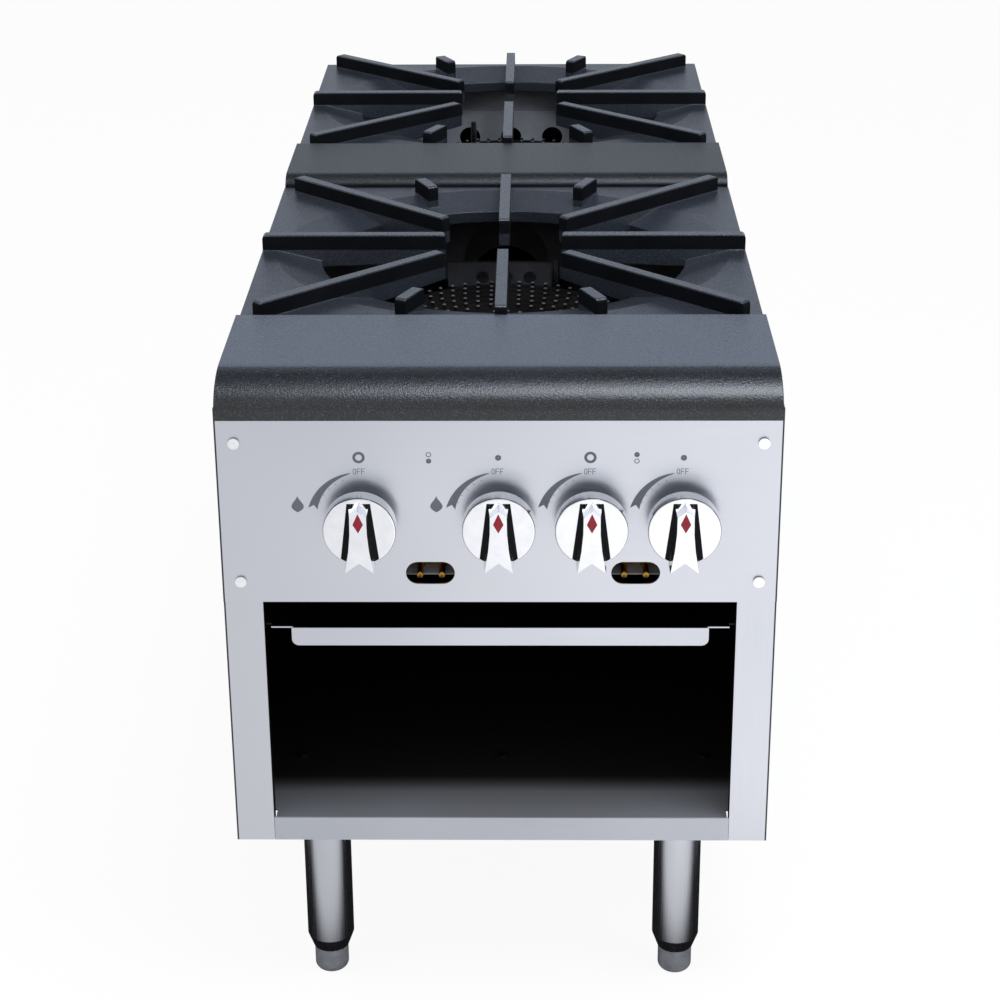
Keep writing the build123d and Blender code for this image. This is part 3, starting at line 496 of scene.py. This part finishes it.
def grid_faces(rows, columns):
    """Quads of a grid whose columns close on themselves, with the outside on the left of each row."""
    row, column = np.meshgrid(np.arange(rows - 1), np.arange(columns), indexing="ij")
    beside = (column + 1) % columns
    here, above = row * columns, (row + 1) * columns
    return np.stack([here + column, here + beside, above + beside, above + column], -1).reshape(-1, 4)


def plate(outline, thick, y):
    """A flat plate on the panel: an outline of (x, z) in metres, closed front and back."""
    outline = np.asarray(outline, float)
    count = len(outline)
    front = np.column_stack([outline[:, 0], np.full(count, y - thick), outline[:, 1]])
    behind = np.column_stack([outline[:, 0], np.full(count, y), outline[:, 1]])
    index = np.arange(count)
    beside = (index + 1) % count
    sides = np.stack([index + count, beside + count, beside, index], -1).tolist()
    return np.vstack([front, behind]), [index.tolist(), (index[::-1] + count).tolist()] + sides


def join(parts):
    """Puts several (points, faces) together as one."""
    points, faces, offset = [], [], 0
    for these, those in parts:
        points.append(np.asarray(these, float))
        faces += [[int(i) + offset for i in face] for face in those]
        offset += len(these)
    return np.vstack(points), faces


# %% [markdown]
# ## The marks on the panel
#
# They are screen-printed in dark grey ink: a ring for the outer burner and a dot for the inner one,
# the word OFF, an arc that widens with the flame, and ticks inside it. A drop stands for the flame,
# and two small rings, one of them filled, for the front or the rear burner. Ink has hardly any
# thickness, so each mark is a plate of a twentieth of a millimetre on the steel.

# %% Ink
ink, tree, output, place = new_material("screen_printed_ink")
tones = {0: blotches(tree, place, 0.6, 0.0, 1.0), 6: linear("555962"), 7: linear("6B6F78")}
ink_tone = add_node(tree, "ShaderNodeMix", tones, data_type="RGBA").outputs[2]
ink_shader = add_node(tree, "ShaderNodeBsdfPrincipled", {"Base Color": ink_tone, "Roughness": 0.55})
tree.links.new(ink_shader.outputs[0], output.inputs["Surface"])

INK = 0.00005  # its thickness, in metres
KNOBS = {"front_outer": -0.1115, "front_inner": 0.0, "rear_outer": 0.0743, "rear_inner": 0.1486}
AXIS_Z = 0.466  # height of the knobs' axes


def ribbon(line, width):
    """An even band round a line of (x, z) points: the line moved to both sides by half its width."""
    line = np.asarray(line, float)
    along = np.gradient(line, axis=0)
    along /= np.linalg.norm(along, axis=1)[:, None]
    across = np.column_stack([-along[:, 1], along[:, 0]]) * width / 2
    return np.vstack([line + across, (line - across)[::-1]])


def ring(x, z, outer, inner, sides=48):
    """A flat ring as two half bands, so that each outline stays simple."""
    halves = []
    for start in (0.0, math.pi):
        angle = start + np.linspace(0, math.pi, sides // 2)
        middle = (outer + inner) / 2
        line = np.column_stack([x + middle * np.cos(angle), z + middle * np.sin(angle)])
        halves.append(line)
    return [ribbon(line, outer - inner) for line in halves]


def growing_arc(x, z):
    """An arc from 101 to 168 degrees. With t from 0 to 1 along it, its outer radius is 40.5 + 3.2 t mm.

    Its width is 0.4 + 7.2 t ** 0.8 mm, and a notch at 163 degrees cuts its wide end like a swallow's tail.
    """
    share = np.linspace(0, 1, 40)
    angle = np.radians(101 + 67 * share)
    wide = 0.0004 + 0.0072 * share**0.8
    outer = 0.0405 + 0.0032 * share
    inner = outer - wide
    edge = np.column_stack([x + outer * np.cos(angle), z + outer * np.sin(angle)])
    back = np.column_stack([x + inner * np.cos(angle), z + inner * np.sin(angle)])[::-1]
    notch_angle, notch_radius = math.radians(163.0), 0.0399
    notch = [[x + notch_radius * math.cos(notch_angle), z + notch_radius * math.sin(notch_angle)]]
    return np.vstack([edge, notch, back])


def letters_off(x, z, high, wide, stroke):
    """The letters O, F and F as bands: a rounded oblong, and a stem with two arms for each F."""
    angle = np.linspace(0, 2 * math.pi, 33)
    power = 2 / 2.6
    oblong = np.column_stack(
        [
            np.sign(np.cos(angle)) * np.abs(np.cos(angle)) ** power * (wide - stroke) / 2,
            np.sign(np.sin(angle)) * np.abs(np.sin(angle)) ** power * (high - stroke) / 2,
        ]
    )
    step = 1.35 * wide
    oblong += [x - step, z]
    bands = [ribbon(oblong[:17], stroke), ribbon(oblong[16:], stroke)]
    for middle in (x, x + step):
        left, top = middle - wide / 2, z + high / 2
        start, arm = left + stroke / 2, top - stroke / 2
        bands.append(ribbon([[left, z - high / 2], [left, top]], stroke))
        bands.append(ribbon([[start, arm], [middle + wide / 2, arm]], stroke))
        bands.append(ribbon([[start, z], [middle + wide / 3, z]], stroke))
    return bands


# %% Print the marks
outlines = []
for name, x in KNOBS.items():
    outlines += letters_off(x - 0.0010, 0.5071, 0.0052, 0.0026, 0.00055)
    outlines.append(growing_arc(x, AXIS_Z))
    for degrees in (113, 124, 135, 146, 157):
        spoke = np.array([math.cos(math.radians(degrees)), math.sin(math.radians(degrees))])
        outlines.append(ribbon([[x, AXIS_Z] + spoke * 0.0352, [x, AXIS_Z] + spoke * 0.0368], 0.0004))
    if name.endswith("outer"):
        outlines += ring(x - 0.0008, 0.5193, 0.0050, 0.0027)
    else:
        outlines += ring(x - 0.0004, 0.5190, 0.0025, 0.0003)


def drop(x, z, high, wide):
    """A plain drop: at height t from 0 to 1 its half width is wide / 2 * sin(pi (1 - t) ** 1.6)."""
    t = np.linspace(0, 1, 25)
    half = wide / 2 * np.sin(math.pi * (1 - t) ** 1.6)
    right = np.column_stack([x + half, z - high / 2 + high * t])
    left = np.column_stack([x - half, z - high / 2 + high * t])[::-1]
    return np.vstack([right, left[1:-1]])


for x in (-0.1629, -0.0506):
    outlines.append(drop(x, 0.4785, 0.0150, 0.0100))
for x, filled in ((-0.0562, "front"), (0.1107, "rear")):
    for z, name in ((0.5218, "rear"), (0.5162, "front")):
        outlines += ring(x, z, 0.0022, 0.0002 if name == filled else 0.0015, 32)
marks = join([plate(outline, INK, FRONT) for outline in outlines])
panel_marks = new_piece("panel_marks", *marks, ink, "stainless_steel", "range")
print("marks:", len(outlines), "plates,", len(panel_marks.data.vertices), "points")

# %% [markdown]
# ## The burner ports
#
# The flames come out of small bored studs that stand in rings on each burner head. One stud is a
# short lathe profile of a few rows, and all of them are worked out at once from their centres.

# %% Studs on the burners
STUD = np.array(  # radius and height of each row, in metres, from the foot over the rim into the port
    [[0.0021, 0.0], [0.0016, 0.0046], [0.0018, 0.0060], [0.0015, 0.0063], [0.0009, 0.0063], [0.0007, 0.0040]]
)
BURNER_MIDDLES = (("front", FRONT + 0.35495), ("rear", FRONT + 0.8883))
OUTER_RINGS = (0.112, 0.099, 0.086, 0.073, 0.060, 0.047)  # radii, in metres
INNER_RINGS = (0.026, 0.012)


def stud_field(centre_y, rows, spacing):
    """All studs of one head: rings of centres a spacing apart, every second ring turned by half a step."""
    centres = []
    for turn, radius in enumerate(rows):
        count = max(6, int(round(2 * math.pi * radius / spacing)))
        angle = (np.arange(count) + 0.5 * (turn % 2)) * 2 * math.pi / count
        centres.append(np.column_stack([radius * np.cos(angle), centre_y + radius * np.sin(angle)]))
    centres = np.vstack(centres)
    sides = 10
    round_angle = np.arange(sides) * 2 * math.pi / sides
    ring_x = STUD[:, 0][:, None] * np.cos(round_angle)
    ring_y = STUD[:, 0][:, None] * np.sin(round_angle)
    ring_z = np.repeat(STUD[:, 1][:, None], sides, 1)
    one = np.stack([ring_x, ring_y, ring_z], -1).reshape(-1, 3)
    points = one[None] + np.column_stack([centres, np.full(len(centres), IRON_TOP)])[:, None]
    quads = grid_faces(len(STUD), sides)
    last = (len(STUD) - 1) * sides
    caps = [list(range(last, last + sides)), list(range(sides - 1, -1, -1))]
    faces = []
    for number in range(len(centres)):
        faces += [[int(i) + number * len(one) for i in face] for face in list(quads) + caps]
    return points.reshape(-1, 3), faces, len(centres)


for side, centre_y in BURNER_MIDDLES:
    points, faces, count = stud_field(centre_y, OUTER_RINGS, 0.0135)
    new_piece(f"{side}_outer_studs", points, faces, burner_iron, "raw_cast_iron", "range")
    points, faces, few = stud_field(centre_y, INNER_RINGS, 0.0125)
    new_piece(f"{side}_inner_studs", points, faces, burner_iron, "raw_cast_iron", "range")
    print(side, "studs:", count + few)

# %% [markdown]
# ## The knobs
#
# The grip stands in a groove that is painted black, and a red mark on the grip shows where the knob
# points. Both are thin plates on the chrome, and ride with the knob.

# %% Knob paint
black_paint = plain_metal(
    "black_enamel_paint", "08080A", "101013", 0.35, 0.45, 3.0, metallic=0.0, shine=0.1
)
red_paint = plain_metal(
    "red_enamel_paint", "86202C", "942A36", 0.3, 0.4, 2.0, metallic=0.0, shine=0.2
)
GRIP_Y = FRONT - 0.038  # the grip's front
GROOVE = 0.0015  # the groove's depth
PAINT = 0.00005  # the paint's thickness


def groove_outlines():
    """The groove's two halves beside the grip's foot, in millimetres from the knob's axis."""
    halves = []
    for side in (-1, 1):
        outer = [(9.35, 24.65), (15.4, -24.3)]
        disc = [(13.8, -25.5), (11.6, -26.6)]
        inner = [(9.0, -12.3), (7.75, 2.7), (8.0, 21.6), (3.9, 24.65)]
        line = np.array(outer + disc + inner) * [side, 1] / 1000
        halves.append(line if side < 0 else line[::-1])
    return halves


def pointer_outline():
    """A plain lozenge, 8.4 mm wide and 17 mm high, near the top of the grip, in metres."""
    return np.array([(0, 21.0), (-4.2, 11.5), (0, 4.0), (4.2, 11.5)]) / 1000


for name, x in KNOBS.items():
    paint = join([plate(half + [x, AXIS_Z], PAINT, FACE_Y + GROOVE) for half in groove_outlines()])
    new_piece(f"{name}_knob_groove", *paint, black_paint, "chrome_plate", f"{name}_knob")
    mark = plate(pointer_outline() + [x, AXIS_Z], PAINT, GRIP_Y)
    new_piece(f"{name}_knob_mark", *mark, red_paint, "chrome_plate", f"{name}_knob")
print("knobs:", len(KNOBS))

# %% [markdown]
# ## Behind the slots
#
# A folded strip of bright zinc carries each pair of pilot screws. Only its upper face shows, in the
# upper half of the slot.

# %% Pilot strips
PILOTS = (-0.0565, 0.1113)
strip_metal = plain_metal("pale_zinc_strip", "F0F1F3", "F8F8FA", 0.4, 0.5, 6.0, metallic=0.0)


def box(low, high):
    """A box between two corners: eight points, and six faces that look outward."""
    x, y, z = np.meshgrid(*zip(low, high), indexing="ij")
    points = np.column_stack([x.ravel(), y.ravel(), z.ravel()])
    return points, [(0, 1, 3, 2), (4, 6, 7, 5), (0, 4, 5, 1), (2, 3, 7, 6), (0, 2, 6, 4), (1, 5, 7, 3)]


strips = [
    box((x - 0.022, FRONT + 0.0185, 0.4060), (x + 0.022, FRONT + 0.0600, 0.4070)) for x in PILOTS
]
new_piece("pilot_strips", *join(strips), strip_metal, "stainless_steel", "range")
print("pilot strips:", len(strips))

# %% [markdown]
# ## Floor and light
#
# The floor is white and very large, so that it is the background as well. Steel is hardly anything but
# its reflections. So the floor that the steel mirrors is white in front of the range, and brighter
# towards its right, and dark below it, as a black board makes it: that draws the dark edges on the
# legs. The sky that the iron mirrors is brightest low behind the range, and a lamp above gives the
# nose its shine.

# %% Floor
PAPER_SHARE = 0.93  # how much of the floor that the camera sees is plain white, and not lit
HALF_FLOOR = 14.0  # metres
floor_material, tree, output, place = new_material("white_studio_floor")
path = add_node(tree, "ShaderNodeLightPath")
tones = {0: blotches(tree, place, 900.0, 0.0, 1.0), 6: linear("F2F2F3"), 7: linear("F7F7F8")}
floor_tone = add_node(tree, "ShaderNodeMix", tones, data_type="RGBA").outputs[2]
paint = {"Base Color": floor_tone, "Roughness": 0.9, "Specular IOR Level": 0.0}
lit = add_node(tree, "ShaderNodeBsdfPrincipled", paint)
paper = add_node(tree, "ShaderNodeEmission", {"Color": linear("FFFFFF"), "Strength": 1.0})
split = add_node(tree, "ShaderNodeSeparateXYZ", {"Vector": place})
beside = within(tree, split.outputs[0], -0.38, 0.38, 0.20)
behind = within(tree, split.outputs[1], FRONT + 0.015, 0.30, 0.10)
boards = add_node(tree, "ShaderNodeMath", {0: beside, 1: behind}, operation="MULTIPLY").outputs[0]
tones = {0: boards, 6: linear("F4F4F6"), 7: linear("1C1C1E")}
board_tone = add_node(tree, "ShaderNodeMix", tones, data_type="RGBA").outputs[2]
from_left = add_node(
    tree,
    "ShaderNodeMapRange",
    {"Value": split.outputs[0], "From Min": -0.45, "From Max": 0.45, "To Min": 0.0, "To Max": 0.55},
    interpolation_type="SMOOTHSTEP",
)
before = within(tree, split.outputs[1], -FAR, FRONT - 0.35, 0.3)
more = {0: from_left.outputs[0], 1: before, 2: 1.0}
glow = add_node(tree, "ShaderNodeMath", more, operation="MULTIPLY_ADD").outputs[0]
mirrored = add_node(tree, "ShaderNodeEmission", {"Color": board_tone, "Strength": glow})
share = {0: path.outputs["Is Camera Ray"], 1: PAPER_SHARE}
seen = add_node(tree, "ShaderNodeMath", share, operation="MULTIPLY").outputs[0]
white_part = add_node(tree, "ShaderNodeMixShader", {0: seen, 1: lit.outputs[0], 2: paper.outputs[0]})
floor_shader = add_node(
    tree,
    "ShaderNodeMixShader",
    {0: path.outputs["Is Glossy Ray"], 1: white_part.outputs[0], 2: mirrored.outputs[0]},
)
tree.links.new(floor_shader.outputs[0], output.inputs["Surface"])
corners = [(x * HALF_FLOOR, y * HALF_FLOOR, 0) for x, y in ((-1, -1), (1, -1), (1, 1), (-1, 1))]
floor_mesh = bpy.data.meshes.new("studio_floor")
floor_mesh.from_pydata(corners, [], [(0, 1, 2, 3)])
floor_mesh.materials.append(floor_material)
floor = bpy.data.objects.new("studio_floor", floor_mesh)
bpy.context.scene.collection.objects.link(floor)


# %% Light
def soft_lamp(name, place, target, size, power, tint=(1.0, 1.0, 1.0)):
    """A square lamp that faces a target."""
    data = bpy.data.lights.new(name, "AREA")
    data.size, data.energy, data.color = size, power, tint
    lamp = bpy.data.objects.new(name, data)
    lamp.location = place
    lamp.rotation_euler = (Vector(target) - Vector(place)).to_track_quat("-Z", "Y").to_euler()
    bpy.context.scene.collection.objects.link(lamp)
    return lamp


soft_lamp("top_lamp", (0.48, -0.80, 2.5), (0.0, -0.55, 0.5), 1.1, 36, (0.92, 0.98, 1.10))
soft_lamp("left_lamp", (-2.4, -1.6, 1.9), (0, -0.3, 0.3), 1.4, 12)
soft_lamp("right_lamp", (2.4, -1.4, 1.9), (0, -0.3, 0.3), 1.4, 16)

# %% Sky
world = bpy.data.worlds.new("studio")
world.use_nodes = True
tree = world.node_tree
tree.nodes.clear()
path = add_node(tree, "ShaderNodeLightPath")
direction = add_node(tree, "ShaderNodeTexCoord").outputs["Generated"]
toward = add_node(tree, "ShaderNodeSeparateXYZ", {"Vector": direction})
sky_rows = (  # sine of the height above the horizon, grey behind, grey in front
    (0.00, 0.55, 0.75),
    (0.26, 0.30, 0.75),
    (0.32, 0.42, 0.75),
    (0.37, 1.00, 0.80),
    (0.44, 0.92, 0.90),
    (0.55, 0.22, 0.95),
    (0.70, 0.05, 0.85),
    (0.84, 0.12, 0.60),
    (0.96, 0.60, 0.60),
)
SKY_TINT = ((0.88, 0.97, 1.12), (0.97, 1.0, 1.03))  # cool light behind, nearly white in front
ramps = []
for column in (1, 2):
    ramp = add_node(tree, "ShaderNodeValToRGB", {"Fac": toward.outputs[2]})
    while len(ramp.color_ramp.elements) < len(sky_rows):
        ramp.color_ramp.elements.new(1.0)
    for element, row in zip(ramp.color_ramp.elements, sky_rows):
        element.position = row[0]
        element.color = (*(row[column] * tint for tint in SKY_TINT[column - 1]), 1.0)
    ramps.append(ramp.outputs[0])
front_share = within(tree, toward.outputs[1], -FAR, -0.25, 0.4)
both = {0: front_share, 6: ramps[0], 7: ramps[1]}
tone = add_node(tree, "ShaderNodeMix", both, data_type="RGBA").outputs[2]
even = add_node(tree, "ShaderNodeBackground", {"Color": linear("FFFFFF"), "Strength": 0.62})
white = add_node(tree, "ShaderNodeBackground", {"Color": linear("FFFFFF"), "Strength": 1.0})
mirrored = add_node(tree, "ShaderNodeBackground", {"Color": tone, "Strength": 1.0})
sky = even
for ray, light in (("Is Camera Ray", white), ("Is Glossy Ray", mirrored)):
    parts = {0: path.outputs[ray], 1: sky.outputs[0], 2: light.outputs[0]}
    sky = add_node(tree, "ShaderNodeMixShader", parts)
add_node(tree, "ShaderNodeOutputWorld", {"Surface": sky.outputs[0]})
bpy.context.scene.world = world
bpy.context.scene.view_settings.view_transform = "Standard"
print("lamps:", 3, "sky rows:", len(sky_rows))
